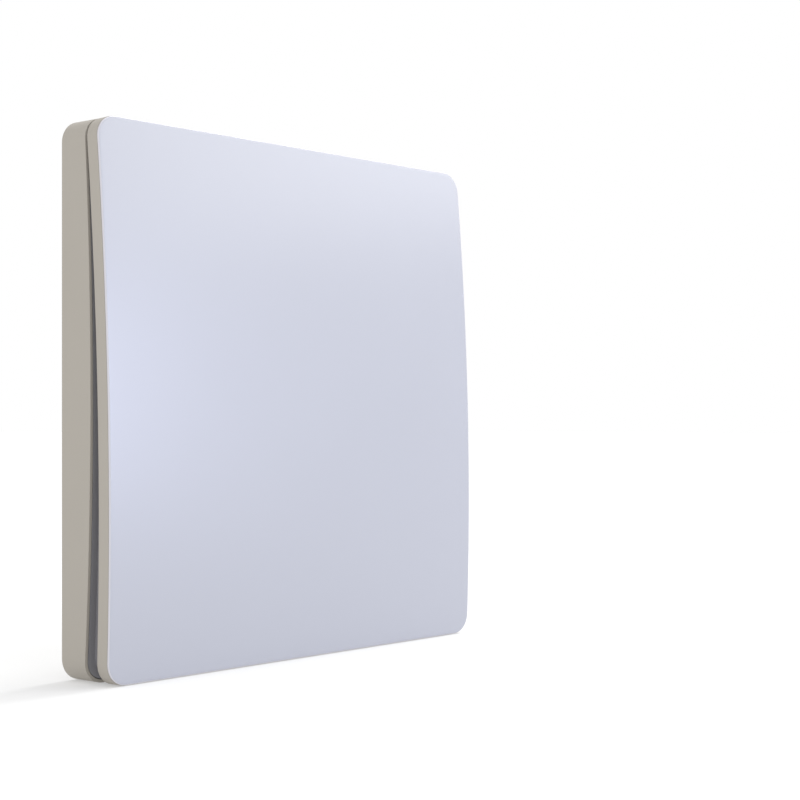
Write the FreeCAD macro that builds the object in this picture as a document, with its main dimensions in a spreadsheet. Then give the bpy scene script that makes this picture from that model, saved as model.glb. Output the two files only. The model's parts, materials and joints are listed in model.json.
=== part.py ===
import FreeCAD, Part
import math
import os
import Sketcher

Vector = FreeCAD.Vector

doc = FreeCAD.newDocument("wireless_rocker_switch")
sheet = doc.addObject("Spreadsheet::Sheet", "Sizes")


class Size:
    """A length or angle together with the sheet formula that it comes from."""

    def __init__(self, value, formula):
        self.value = value
        self.formula = formula

    def __add__(self, other):
        other = as_size(other)
        return Size(self.value + other.value, f"({self.formula} + {other.formula})")

    def __sub__(self, other):
        other = as_size(other)
        return Size(self.value - other.value, f"({self.formula} - {other.formula})")

    def __mul__(self, other):
        other = as_size(other)
        return Size(self.value * other.value, f"({self.formula} * {other.formula})")

    def __truediv__(self, other):
        other = as_size(other)
        return Size(self.value / other.value, f"({self.formula} / {other.formula})")

    def __radd__(self, other):
        return as_size(other) + self

    def __rsub__(self, other):
        return as_size(other) - self

    def __rmul__(self, other):
        return as_size(other) * self

    def __neg__(self):
        return Size(-self.value, f"(-1 * {self.formula})")


def as_size(item):
    if isinstance(item, Size):
        return item
    return Size(float(item), f"({float(item)})")


def square_root(size):
    return Size(math.sqrt(size.value), f"sqrt({size.formula})")


def sine(angle):
    return Size(math.sin(math.radians(angle.value)), f"sin({angle.formula} * 1deg)")


# Driving dimensions in millimetres, the tilt in degrees; depths count from the wall towards the viewer

plate_size = 86.0  # side of the square plate
corner_radius = 3.5  # corner radius of the plate
rim_depth = 5.5  # depth of the housing at its top and bottom edge
crown_rise = 1.5  # how much deeper the crowned rim is at mid height
back_chamfer = 0.15  # bevel around the housing's back
back_wall = 1.5  # thickness of the housing's back
side_wall = 1.5  # thickness of the housing's sides
lip_wall = 0.5  # thickness of the lip around the cover's flange
ledge_depth = 1.2  # how far the flange sits below the rim's ends
notch_width = 10.0  # width of the lifting notch in the lower rim
notch_depth = 0.9  # depth of the lifting notch
tape_width = 54.0  # width of the recesses for the adhesive pads
tape_height = 18.0  # height of the recesses for the adhesive pads
tape_place = 22.0  # distance of the recesses' centres from the middle
tape_depth = 0.4  # depth of the recesses for the adhesive pads
tape_corner = 2.0  # corner radius of the recesses

screw_spacing = 60.3  # distance between the two wall screws
slot_width = 4.6  # width of the wall screw slots
slot_length = 7.6  # length of the wall screw slots
driver_hole = 8.0  # diameter of the cover's holes in front of the wall screws
screw_pitch = 71.0  # distance between the cover screws
screw_radius = 0.85  # radius of the screws' shanks
head_radius = 1.8  # head radius of the cover screws
head_height = 0.9  # head height of the cover screws
head_sink = 0.1  # how deep the cover screws' heads lie below the back
inner_head_radius = 1.6  # head radius of the inner screws
inner_head_height = 1.0  # head height of the inner screws
bore_gap = 0.15  # gap around a shank that passes through
thread_gap = 0.01  # gap around a shank that holds in plastic
post_radius = 2.1  # radius of the posts that take a screw

cover_rise = 1.3  # how far the cover's plateau stands above the rim
cover_wall = 1.2  # thickness of the inner cover
cover_gap = 0.6  # gap between the plateau and the rocker's side band
fit_gap = 0.1  # gap between pieces that are fitted into each other
run_gap = 0.05  # gap around the pivots

rocker_gap = 1.68  # gap between rim and rocker when the rocker is level
rocker_edge = 2.62  # height of the rocker's side band with the face plate
rocker_tilt = 1.7  # tilt of the resting rocker
rocker_wall = 1.2  # thickness of the rocker's side band
rocker_web = 0.8  # thickness of the rocker panel behind the face plate
face_thickness = 0.3  # thickness of the rocker's face plate
face_chamfer = 0.15  # bevel around the face plate
bond_gap = 0.05  # thickness of the glue between the rocker panel and the face plate
pivot_depth = 6.4  # depth of the rocker's pivot
pivot_radius = 1.0  # radius of the rocker's pivot pins
ear_inset = 4.2  # distance of the pivot ears from the side band
ear_thickness = 1.6  # thickness of the pivot ears
ear_half = 2.0  # half width of the pivot ears

lever_drop = 16.0  # distance of the lever's pivot below the rocker's pivot
lever_depth = 4.3  # depth of the lever's pivot
tongue_reach = 15.0  # distance from the lever's pivot to its tongue tip
tongue_width = 4.0  # width of the lever's tongue
tip_radius = 0.8  # radius of the tongue's tip
trunnion_radius = 0.9  # radius of the lever's trunnions
mouth_reach = 8.5  # distance from the lever's pivot to the core's tips
core_thickness = 1.0  # thickness of the iron core
arm_width = 3.0  # width of the core's arms
leg_left = 13.0  # distance of the core's leg from the middle
leg_width = 4.0  # width of the core's leg
pole_width = 9.0  # width of the pole plates
pole_thickness = 0.7  # thickness of the pole plates
pole_overhang = 2.0  # how far the pole plates reach past the core's tips
swing_gap = 0.08  # gap between a pole plate and the core at the end of the swing
carrier_wall = 1.4  # wall of the lever around the magnet
carrier_gap = 1.6  # gap between the lever's carrier and the core's arms
lever_side = 1.9  # width of the lever beside the pole plates
frame_left = 3.6  # margins of the generator frame's floor around the lever, the yoke and the poles
frame_right = 5.0
frame_low = 2.6
frame_high = 1.6
frame_thickness = 0.5  # thickness of the generator frame's floor
tab_lift = 1.1  # height of the frame's screw tabs above the back
left_tab_reach = 6.8  # distance of the left screw tab's screw from the swing lever
right_tab_reach = 7.6  # distance of the right screw tab's screw from the yoke's leg
right_tab_rise = 1.0  # height of the right screw tab's screw above the lower arm
tab_thickness = 0.9  # thickness of the frame's screw tabs
ledge_gap = 0.6  # distance of the core's ledges from the yoke's leg
ledge_length = 4.8
ledge_height = 2.4
stake_width = 1.4  # width of the square stakes that hold the core
coil_width = 9.6  # width of the bobbin's flanges
coil_depth = 4.0  # depth of the bobbin's flanges
bobbin_wall = 0.5  # wall of the bobbin's tube
flange_wall = 0.8  # thickness of the bobbin's flanges
pin_width = 0.6  # width of the coil's terminal pins
pin_reach = 3.7  # distance of the first terminal pin from the yoke's leg
pin_pitch = 1.9  # distance between the terminal pins

board_lift = 0.9  # height of the circuit board above the back
board_thickness = 1.0  # thickness of the circuit board
board_low = -3.5  # lower edge of the circuit board
board_top = 9.0  # distance of the board's upper edge from the plate's
board_margin = 6.35  # distance of the board's sides from the wall screws
post_place = 19.0  # distance of the board posts from the middle
rest_width = 3.0  # side of the square rests under the board's lower edge
antenna_lift = 1.0  # height of the antenna strip above the board
antenna_width = 0.9  # width of the antenna strip
antenna_thickness = 0.4  # thickness of the antenna strip
antenna_rise = 3.2  # how far the antenna strip stands above the board's upper edge
antenna_left = 14.0  # distance of the antenna's foot from the middle
antenna_drop = 8.0  # distance of the antenna's foot below the board's upper edge
pin_overlap = 3.0  # how far the coil's terminal pins lie on the board
block_height = 2.4  # height of the bobbin's terminal block
block_wall = 0.9  # wall of the terminal block beside the pins
chip_width = 5.0  # radio chip
chip_height = 4.0
chip_thickness = 1.4
chip_row = 14.0  # distance of the chip and the crystal below the board's upper edge
chip_place = 4.0  # distance of the chip and the crystal from the middle
crystal_width = 3.2
crystal_height = 2.5
crystal_thickness = 0.8
resistor_width = 1.6
resistor_height = 0.8
resistor_thickness = 0.5
resistor_pitch = 3.0
resistor_row = 9.0  # distance of the resistors below the board's upper edge
capacitor_width = 3.6
capacitor_height = 2.8
capacitor_thickness = 1.9
capacitor_pitch = 6.0
capacitor_row = 6.0  # distance of the capacitors below the chip and the crystal
diode_width = 2.8
diode_height = 1.4
diode_thickness = 1.1
diode_pitch = 4.0
diode_row = 8.0  # distance of the diodes below the capacitors

# Every number named so far goes to the sheet, and from here on carries its formula

named_numbers = [name for name, value in globals().items() if isinstance(value, float)]
for row, name in enumerate(named_numbers, 1):
    number = globals()[name]
    sheet.set(f"A{row}", name.replace("_", " "))
    sheet.set(f"B{row}", str(number))
    sheet.setAlias(f"B{row}", name)
    globals()[name] = Size(number, f"Sizes.{name}")
doc.recompute()

# Dimensions that follow from the driving ones

half_plate = plate_size / 2
crown_radius = (half_plate * half_plate + crown_rise * crown_rise) / (2 * crown_rise)
slot_centre = screw_spacing / 2
screw_offset = screw_pitch / 2
room_half = half_plate - side_wall
flange_half = half_plate - lip_wall - fit_gap
flange_seat = rim_depth - ledge_depth
plateau_half = half_plate - rocker_wall - cover_gap
plateau_edge = rim_depth + cover_rise
ceiling_edge = plateau_edge - cover_wall
well_depth = head_sink + head_height
well_radius = head_radius + 2 * bore_gap
pilot_radius = screw_radius + thread_gap
pilot_floor = back_wall * 0.4

# The rocker's own frame has its origin on the pivot
band_edge = rim_depth + rocker_gap - pivot_depth
face_edge = band_edge + rocker_edge
face_back = face_edge - face_thickness
panel_edge = face_back - bond_gap
web_edge = panel_edge - rocker_web
ear_place = half_plate - rocker_wall - ear_inset
bracket_thickness = ear_thickness - 2 * fit_gap

# The swing lever's own frame has its origin on the lever's pivot
fork_drop = lever_drop + tongue_reach
lever_tilt = rocker_tilt * fork_drop / tongue_reach
pole_half_width = pole_width / 2
pole_half_length = mouth_reach + pole_overhang
lever_half_width = pole_half_width + lever_side
arm_half = arm_width / 2
mouth_gap = core_thickness + 2 * ((mouth_reach + arm_half) * sine(lever_tilt) + swing_gap)
carrier_half = mouth_reach - arm_half - carrier_gap

# The generator's fixed parts, seen from the front
core_depth = lever_depth - core_thickness / 2
leg_right = leg_left + leg_width
leg_centre = leg_left + leg_width / 2
upper_arm = mouth_reach - lever_drop
lower_arm = -mouth_reach - lever_drop
frame_floor = back_wall + frame_thickness
tab_back = back_wall + tab_lift
tab_front = tab_back + tab_thickness
stake_place = leg_left - arm_width
bobbin_low = lower_arm + arm_half + 2 * fit_gap
bobbin_high = upper_arm - arm_half - 2 * fit_gap
block_base = bobbin_high - block_height * 2 / 3
generator_screw_places = (
    (-lever_half_width - left_tab_reach, upper_arm),
    (leg_right + right_tab_reach, lower_arm + right_tab_rise),
)

# The circuit board stands in the upper half
board_back = back_wall + board_lift
board_front = board_back + board_thickness
board_half = slot_centre - board_margin
board_high = half_plate - board_top
post_high = board_high - 4.0
pin_half = pin_width / 2
pin_places = (leg_right + pin_reach, leg_right + pin_reach + pin_pitch)
pin_depth = board_front + pin_half
flange_half_width = coil_width / 2
flange_half_depth = coil_depth / 2


def bind(item, name, size):
    item.setExpression(name, as_size(size).formula)


def new_body(name):
    body = doc.addObject("PartDesign::Body", name)
    body.Label = name
    return body


def own_plane(body, role):
    return [item for item in body.Origin.OriginFeatures if item.Role == role][0]


def sketch_on(body, name, role, offset=0):
    """An empty sketch on one of the body's planes; offsets on the XZ plane count towards the viewer."""
    sketch = body.newObject("Sketcher::SketchObject", name)
    sketch.AttachmentSupport = [(own_plane(body, role), "")]
    sketch.MapMode = "FlatFace"
    bind(sketch, "AttachmentOffset.Base.z", offset)
    return sketch


def pin(sketch, geometry, point, across, up):
    """Fixes one point of a sketch by its two coordinates."""
    for kind, axis, size in (("DistanceX", -2, as_size(across)), ("DistanceY", -1, as_size(up))):
        if size.value == 0:
            sketch.addConstraint(Sketcher.Constraint("PointOnObject", geometry, point, axis))
            continue
        rule = sketch.addConstraint(Sketcher.Constraint(kind, -1, 1, geometry, point, size.value))
        bind(sketch, f"Constraints[{rule}]", size)


def left_arc(start, end, radius):
    """An arc from start to end that turns left on its way."""
    middle = (start + end) / 2
    chord = end - start
    rise = math.sqrt(max(radius * radius - chord.Length * chord.Length / 4, 0))
    centre = middle + Vector(-chord.y, chord.x, 0).normalize() * rise
    first = math.atan2(start.y - centre.y, start.x - centre.x)
    last = math.atan2(end.y - centre.y, end.x - centre.x)
    return Part.ArcOfCircle(Part.Circle(centre, Vector(0, 0, 1), radius), first, last)


def outline(sketch, corners, closed=True):
    """A line through the corners; a third entry bends the side that leaves the corner to that radius."""
    first = sketch.GeometryCount
    sides = len(corners) if closed else len(corners) - 1
    points = [Vector(as_size(corner[0]).value, as_size(corner[1]).value, 0) for corner in corners]
    for side in range(sides):
        start = points[side]
        end = points[(side + 1) % len(corners)]
        if len(corners[side]) == 3:
            radius = as_size(corners[side][2])
            sketch.addGeometry(left_arc(start, end, radius.value), False)
        else:
            sketch.addGeometry(Part.LineSegment(start, end), False)
    for side in range(sides):
        following = (side + 1) % len(corners)
        if following < sides:
            sketch.addConstraint(Sketcher.Constraint("Coincident", first + side, 2, first + following, 1))
        pin(sketch, first + side, 1, corners[side][0], corners[side][1])
        if len(corners[side]) == 3:
            radius = as_size(corners[side][2])
            rule = sketch.addConstraint(Sketcher.Constraint("Radius", first + side, radius.value))
            bind(sketch, f"Constraints[{rule}]", radius)
    if not closed:
        pin(sketch, first + sides - 1, 2, corners[-1][0], corners[-1][1])


def rectangle(sketch, left, right, low, high):
    outline(sketch, [(left, low), (right, low), (right, high), (left, high)])


def square(sketch, across, up, half):
    rectangle(sketch, across - half, across + half, up - half, up + half)


def rounded_rectangle(sketch, left, right, low, high, radius):
    outline(sketch, [
        (left + radius, low),
        (right - radius, low, radius),
        (right, low + radius),
        (right, high - radius, radius),
        (right - radius, high),
        (left + radius, high, radius),
        (left, high - radius),
        (left, low + radius, radius),
    ])


def rounded_square(sketch, half, radius):
    rounded_rectangle(sketch, -half, half, -half, half, radius)


def slot(sketch, centre, half_length, radius):
    """A lying slot with round ends."""
    straight = half_length - radius
    outline(sketch, [
        (centre - straight, -radius),
        (centre + straight, -radius, radius),
        (centre + half_length, 0, radius),
        (centre + straight, radius),
        (centre - straight, radius, radius),
        (centre - half_length, 0, radius),
    ])


def circle(sketch, across, up, radius):
    radius = as_size(radius)
    centre = Vector(as_size(across).value, as_size(up).value, 0)
    ring = sketch.addGeometry(Part.Circle(centre, Vector(0, 0, 1), radius.value), False)
    pin(sketch, ring, 3, across, up)
    rule = sketch.addConstraint(Sketcher.Constraint("Radius", ring, radius.value))
    bind(sketch, f"Constraints[{rule}]", radius)


def pad(body, name, sketch, length, symmetric=False):
    feature = body.newObject("PartDesign::Pad", name)
    feature.Profile = sketch
    feature.SideType = "Symmetric" if symmetric else "One side"
    bind(feature, "Length", length)
    body.Tip = feature
    return feature


def pocket(body, name, sketch, length, symmetric=False, towards_viewer=True):
    feature = body.newObject("PartDesign::Pocket", name)
    feature.Profile = sketch
    feature.SideType = "Symmetric" if symmetric else "One side"
    feature.Reversed = towards_viewer
    bind(feature, "Length", length)
    body.Tip = feature
    return feature


def mirror(body, name, features):
    """Repeats features on the other side of the switch's upright middle plane."""
    feature = body.newObject("PartDesign::Mirrored", name)
    feature.Originals = features
    feature.MirrorPlane = (own_plane(body, "YZ_Plane"), [""])
    body.Tip = feature
    return feature


def bevel_edges(body, name, size, wanted):
    """Bevels those edges of the body so far that the test picks."""
    doc.recompute()
    base = body.Tip
    picked = [f"Edge{n}" for n, edge in enumerate(base.Shape.Edges, 1) if wanted(edge)]
    feature = body.newObject("PartDesign::Chamfer", name)
    feature.Base = (base, picked)
    bind(feature, "Size", size)
    body.Tip = feature
    return feature


def crown_depth(edge_depth, height):
    """Depth of a crowned surface at a height, from its depth at the plate's top and bottom edge."""
    drop = crown_radius - square_root(crown_radius * crown_radius - height * height)
    return edge_depth + crown_rise - drop


def crown_front(body, name, edge_depth):
    """Cuts away everything in front of a crowned surface."""
    reach = half_plate + 2.0
    far = edge_depth + crown_rise + 6.0
    edge = crown_depth(edge_depth, reach)
    sketch = sketch_on(body, name + "_profile", "YZ_Plane")
    outline(sketch, [(-far, -reach), (-far, reach), (-edge, reach, crown_radius), (-edge, -reach)])
    pocket(body, name, sketch, plate_size + 4.0, symmetric=True)


def crown_back(body, name, edge_depth, from_depth, half_height, half_width):
    """Cuts away everything between a flat depth and a crowned surface in front of it."""
    edge = crown_depth(edge_depth, half_height)
    sketch = sketch_on(body, name + "_profile", "YZ_Plane")
    outline(sketch, [
        (-from_depth, -half_height),
        (-from_depth, half_height),
        (-edge, half_height, crown_radius),
        (-edge, -half_height),
    ])
    pocket(body, name, sketch, 2 * half_width, symmetric=True)


def four_corners(distance):
    return [(across * distance, up * distance) for across in (-1, 1) for up in (-1, 1)]


# Rear housing: a shallow tray with a crowned rim

def make_rear_housing():
    body = new_body("rear_housing")
    plan = sketch_on(body, "housing_plan", "XZ_Plane")
    rounded_square(plan, half_plate, corner_radius)
    pad(body, "housing_block", plan, rim_depth + crown_rise)
    bevel_edges(body, "back_edge", back_chamfer, lambda edge: edge.BoundBox.YMin > -0.01)
    crown_front(body, "rim_crown", rim_depth)

    room = sketch_on(body, "room_plan", "XZ_Plane", back_wall)
    rounded_square(room, room_half, corner_radius - side_wall)
    pocket(body, "room", room, plate_size)
    ledge = sketch_on(body, "ledge_plan", "XZ_Plane", flange_seat)
    rounded_square(ledge, half_plate - lip_wall, corner_radius - lip_wall)
    pocket(body, "flange_ledge", ledge, plate_size)

    bores = sketch_on(body, "screw_bore_plan", "XZ_Plane")
    wells = sketch_on(body, "screw_head_plan", "XZ_Plane")
    for across, up in four_corners(screw_offset):
        circle(bores, across, up, screw_radius + bore_gap)
        circle(wells, across, up, well_radius)
    pocket(body, "screw_bores", bores, back_wall + 1.0)
    pocket(body, "screw_head_wells", wells, well_depth)

    slots = sketch_on(body, "wall_slot_plan", "XZ_Plane")
    for side in (-1, 1):
        slot(slots, side * slot_centre, slot_length / 2, slot_width / 2)
    pocket(body, "wall_screw_slots", slots, back_wall + 1.0)
    lands = sketch_on(body, "tape_land_plan", "XZ_Plane")
    for side in (-1, 1):
        low = side * tape_place - tape_height / 2
        high = side * tape_place + tape_height / 2
        rounded_rectangle(lands, -tape_width / 2, tape_width / 2, low, high, tape_corner)
    pocket(body, "tape_lands", lands, tape_depth)

    posts = sketch_on(body, "board_post_plan", "XZ_Plane", back_wall)
    pilots = sketch_on(body, "board_pilot_plan", "XZ_Plane", pilot_floor)
    for side in (-1, 1):
        circle(posts, side * post_place, post_high, post_radius)
        rest = side * post_place - rest_width / 2
        rectangle(posts, rest, rest + rest_width, board_low, board_low + rest_width)
        circle(pilots, side * post_place, post_high, pilot_radius)
    pad(body, "board_posts", posts, board_back - back_wall)
    pocket(body, "board_pilots", pilots, board_back)

    seats = sketch_on(body, "generator_post_plan", "XZ_Plane", back_wall)
    seat_pilots = sketch_on(body, "generator_pilot_plan", "XZ_Plane", pilot_floor)
    for across, up in generator_screw_places:
        square(seats, across, up, post_radius)
        circle(seat_pilots, across, up, pilot_radius)
    pad(body, "generator_posts", seats, tab_back - back_wall)
    pocket(body, "generator_pilots", seat_pilots, tab_back)

    notch = sketch_on(body, "lift_notch_plan", "XZ_Plane", rim_depth - notch_depth)
    notch_half = notch_width / 2
    rectangle(notch, -notch_half, notch_half, -half_plate - 1.0, -half_plate + lip_wall + 0.4)
    pocket(body, "lift_notch", notch, notch_depth + crown_rise)
    return body


# Inner cover: a crowned lid whose plateau stands inside the hollow of the rocker

def make_inner_cover():
    body = new_body("inner_cover")
    flange = sketch_on(body, "flange_plan", "XZ_Plane", flange_seat)
    rounded_square(flange, flange_half, corner_radius - lip_wall - fit_gap)
    pad(body, "flange", flange, ledge_depth + crown_rise)
    crown_front(body, "flange_crown", rim_depth)
    plateau = sketch_on(body, "plateau_plan", "XZ_Plane", flange_seat)
    rounded_square(plateau, plateau_half, corner_radius - rocker_wall)
    pad(body, "plateau", plateau, ledge_depth + cover_rise + crown_rise)
    crown_front(body, "plateau_crown", plateau_edge)
    hollow_half = plateau_half - cover_wall
    crown_back(body, "cover_hollow", ceiling_edge, back_wall, hollow_half, hollow_half)

    bosses = sketch_on(body, "cover_boss_plan", "XZ_Plane", back_wall)
    pilots = sketch_on(body, "cover_pilot_plan", "XZ_Plane", back_wall)
    for across, up in four_corners(screw_offset):
        circle(bosses, across, up, post_radius)
        circle(pilots, across, up, pilot_radius)
    boss_top = crown_depth(ceiling_edge, screw_offset) + cover_wall / 2
    pad(body, "cover_bosses", bosses, boss_top - back_wall)
    pocket(body, "cover_pilots", pilots, boss_top - back_wall)

    holes = sketch_on(body, "driver_hole_plan", "XZ_Plane", back_wall)
    for side in (-1, 1):
        circle(holes, side * slot_centre, 0, driver_hole / 2)
    pocket(body, "driver_holes", holes, plateau_edge + crown_rise)

    windows = sketch_on(body, "ear_window_plan", "XZ_Plane", flange_seat - 1.0)
    for side in (-1, 1):
        near = side * (ear_place - 2 * fit_gap)
        far = side * (ear_place + ear_thickness + cover_gap)
        edge = ear_half + 2 * cover_gap
        outline(windows, [(near, -edge), (far, -edge), (far, edge), (near, edge)])
    window_half = lever_half_width + 1.0
    rectangle(windows, -window_half, window_half, -fork_drop - 3.0, -lever_drop - 2.0)
    pocket(body, "ear_and_lever_windows", windows, plate_size)

    bracket = sketch_on(body, "bracket_profile", "YZ_Plane", ear_place - ear_thickness)
    bracket_root = ceiling_edge + crown_rise + cover_wall / 2
    bracket_half = pivot_radius * 3
    corner = pivot_radius
    bracket_foot = pivot_depth - pivot_radius - 0.9
    outline(bracket, [
        (-bracket_root, -bracket_half),
        (-bracket_foot - corner, -bracket_half, corner),
        (-bracket_foot, corner - bracket_half),
        (-bracket_foot, bracket_half - corner, corner),
        (-bracket_foot - corner, bracket_half),
        (-bracket_root, bracket_half),
    ])
    bracket_pad = pad(body, "pivot_bracket", bracket, bracket_thickness)
    bore = sketch_on(body, "pivot_bore_profile", "YZ_Plane", ear_place - ear_thickness - 0.6)
    circle(bore, -pivot_depth, 0, pivot_radius + run_gap)
    bore_cut = pocket(body, "pivot_bore", bore, ear_thickness + 0.6)
    mirror(body, "other_bracket", [bracket_pad, bore_cut])
    return body


# Screws with a flat head and a cross recess

def make_screw(name, across, up, head_face, from_back, radius, height, length):
    """One screw; from_back tells whether it goes in from the wall's side."""
    body = new_body(name)
    way = -1 if from_back else 1
    profile = sketch_on(body, name + "_profile", "XY_Plane")
    outline(profile, [
        (0, 0),
        (radius, 0),
        (radius, way * height),
        (screw_radius, way * height),
        (screw_radius, way * length),
        (0, way * length),
    ])
    turned = body.newObject("PartDesign::Revolution", name + "_turned")
    turned.Profile = profile
    turned.ReferenceAxis = (profile, ["V_Axis"])
    turned.Angle = 360
    body.Tip = turned
    recess = sketch_on(body, name + "_recess_plan", "XZ_Plane")
    arm = 0.6 * radius
    slit = 0.14 * radius
    outline(recess, [
        (-slit, -arm), (slit, -arm), (slit, -slit), (arm, -slit), (arm, slit), (slit, slit),
        (slit, arm), (-slit, arm), (-slit, slit), (-arm, slit), (-arm, -slit), (-slit, -slit),
    ])
    pocket(body, name + "_recess", recess, 0.6 * height, towards_viewer=from_back)
    bind(body, "Placement.Base.x", across)
    bind(body, "Placement.Base.y", -head_face)
    bind(body, "Placement.Base.z", up)
    return body


def group(name, members):
    """One node made of several separate solids."""
    compound = doc.addObject("Part::Compound", name)
    compound.Label = name
    compound.Links = members
    return compound


def make_cover_screws():
    screws = []
    for number, (across, up) in enumerate(four_corners(screw_offset), 1):
        length = crown_depth(ceiling_edge, screw_offset) - head_sink
        screw = make_screw(f"cover_screw_{number}", across, up, head_sink, True,
                           head_radius, head_height, length)
        screws.append(screw)
    return group("cover_screws", screws)


def make_inner_screw(name, across, up, seat):
    """A screw from the front through a plate whose front lies at the seat's depth."""
    head_face = seat + inner_head_height
    length = head_face - pilot_floor - fit_gap
    return make_screw(name, across, up, head_face, False, inner_head_radius, inner_head_height, length)


def make_board_screws():
    screws = []
    for number, side in enumerate((-1, 1), 1):
        screws.append(make_inner_screw(f"board_screw_{number}", side * post_place, post_high, board_front))
    return group("board_screws", screws)


# Generator frame: the chassis of the energy harvester

def make_generator_frame():
    body = new_body("generator_frame")
    left = -lever_half_width - frame_left
    right = leg_right + frame_right
    low = -lever_drop - pole_half_length - frame_low
    high = -lever_drop + pole_half_length + frame_high
    floor = sketch_on(body, "frame_floor_plan", "XZ_Plane", back_wall)
    rounded_rectangle(floor, left, right, low, high, as_size(1.0))
    window_half = pole_half_width + 0.7
    window_top = -lever_drop + pole_half_length + 0.5
    window_low = -lever_drop - pole_half_length - 0.7
    rectangle(floor, -window_half, window_half, window_low, window_top)
    pad(body, "frame_floor", floor, frame_floor - back_wall)

    posts = sketch_on(body, "bearing_post_plan", "XZ_Plane", back_wall)
    near = lever_half_width + 0.4
    far = lever_half_width + 2.2
    rectangle(posts, -far, -near, -lever_drop - 2.2, -lever_drop + 2.2)
    rectangle(posts, near, far, -lever_drop - 2.2, -lever_drop + 2.2)
    pad(body, "bearing_posts", posts, lever_depth + 1.5 - back_wall)
    cradle = sketch_on(body, "bearing_cradle_profile", "YZ_Plane")
    radius = trunnion_radius + run_gap
    open_end = lever_depth + 4.0
    outline(cradle, [
        (-open_end, -lever_drop - radius),
        (-lever_depth, -lever_drop - radius, radius),
        (radius - lever_depth, -lever_drop, radius),
        (-lever_depth, -lever_drop + radius),
        (-open_end, -lever_drop + radius),
    ])
    pocket(body, "bearing_cradles", cradle, 2 * (far + 1.0), symmetric=True)

    ledges = sketch_on(body, "core_ledge_plan", "XZ_Plane", back_wall)
    stakes = sketch_on(body, "core_stake_plan", "XZ_Plane", back_wall)
    for arm in (upper_arm, lower_arm):
        ledge_end = leg_left - ledge_gap
        ledge_low = arm - ledge_height / 2
        rectangle(ledges, ledge_end - ledge_length, ledge_end, ledge_low, ledge_low + ledge_height)
        square(stakes, stake_place, arm, stake_width / 2)
    pad(body, "core_ledges", ledges, core_depth - back_wall)
    pad(body, "core_stakes", stakes, core_depth + core_thickness + 0.5 - back_wall)

    tabs = sketch_on(body, "screw_tab_plan", "XZ_Plane", tab_back)
    risers = sketch_on(body, "screw_riser_plan", "XZ_Plane", back_wall)
    bores = sketch_on(body, "tab_bore_plan", "XZ_Plane", back_wall)
    for (across, up), inner in zip(generator_screw_places, (left + 1.2, right - 1.2)):
        side = -1 if across.value < 0 else 1
        outer = across + side * 2.6
        outline(tabs, [(inner, up - 2.4), (outer, up - 2.4), (outer, up + 2.4), (inner, up + 2.4)])
        wall = inner + side * 1.2
        outline(risers, [(inner, up - 2.4), (wall, up - 2.4), (wall, up + 2.4), (inner, up + 2.4)])
        circle(bores, across, up, screw_radius + bore_gap)
    pad(body, "screw_tabs", tabs, tab_front - tab_back)
    pad(body, "screw_risers", risers, tab_front - back_wall)
    pocket(body, "tab_bores", bores, 4.0)
    return body


def make_generator_screws():
    screws = []
    for number, (across, up) in enumerate(generator_screw_places, 1):
        screws.append(make_inner_screw(f"generator_screw_{number}", across, up, tab_front))
    return group("generator_screws", screws)


# Iron core: an L through the coil and a bar that closes it

def make_core_yoke():
    body = new_body("core_yoke")
    plan = sketch_on(body, "yoke_plan", "XZ_Plane", core_depth)
    outline(plan, [
        (-pole_half_width, lower_arm - arm_half),
        (leg_right, lower_arm - arm_half),
        (leg_right, upper_arm - arm_half),
        (leg_left, upper_arm - arm_half),
        (leg_left, lower_arm + arm_half),
        (-pole_half_width, lower_arm + arm_half),
    ])
    square(plan, stake_place, lower_arm, stake_width / 2 + run_gap)
    pad(body, "yoke_stamping", plan, core_thickness)
    return body


def make_core_arm():
    body = new_body("core_arm")
    plan = sketch_on(body, "arm_plan", "XZ_Plane", core_depth)
    rectangle(plan, -pole_half_width, leg_right, upper_arm - arm_half, upper_arm + arm_half)
    square(plan, stake_place, upper_arm, stake_width / 2 + run_gap)
    pad(body, "arm_stamping", plan, core_thickness)
    return body


# Coil: bobbin, winding and two terminal pins

def tube_section(sketch, half_width, half_depth):
    """A rectangle around the core's leg, seen along the leg."""
    rectangle(sketch, leg_centre - half_width, leg_centre + half_width,
              -lever_depth - half_depth, -lever_depth + half_depth)


def make_coil_bobbin():
    body = new_body("coil_bobbin")
    leg_half = leg_width / 2
    bore_width = leg_half + fit_gap
    bore_depth = core_thickness / 2 + fit_gap
    tube = sketch_on(body, "tube_section", "XY_Plane", bobbin_low)
    tube_section(tube, bore_width + bobbin_wall, bore_depth + bobbin_wall)
    tube_section(tube, bore_width, bore_depth)
    pad(body, "bobbin_tube", tube, bobbin_high - bobbin_low)
    for name, start in (("lower_flange", bobbin_low), ("upper_flange", bobbin_high - flange_wall)):
        flange = sketch_on(body, name + "_section", "XY_Plane", start)
        tube_section(flange, flange_half_width, flange_half_depth)
        tube_section(flange, bore_width, bore_depth)
        pad(body, name, flange, flange_wall)
    block = sketch_on(body, "terminal_block_section", "XY_Plane", block_base)
    rectangle(block, leg_centre + flange_half_width - 0.4, pin_places[1] + block_wall,
              -pin_depth - 1.1, -pin_depth + 1.0)
    pad(body, "terminal_block", block, block_height)
    holes = sketch_on(body, "terminal_hole_section", "XY_Plane", bobbin_high - block_height)
    for place in pin_places:
        rectangle(holes, place - pin_half - 0.02, place + pin_half + 0.02,
                  -pin_depth - pin_half - 0.02, -pin_depth + pin_half + 0.02)
    pocket(body, "terminal_holes", holes, 2 * block_height)
    return body


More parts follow.
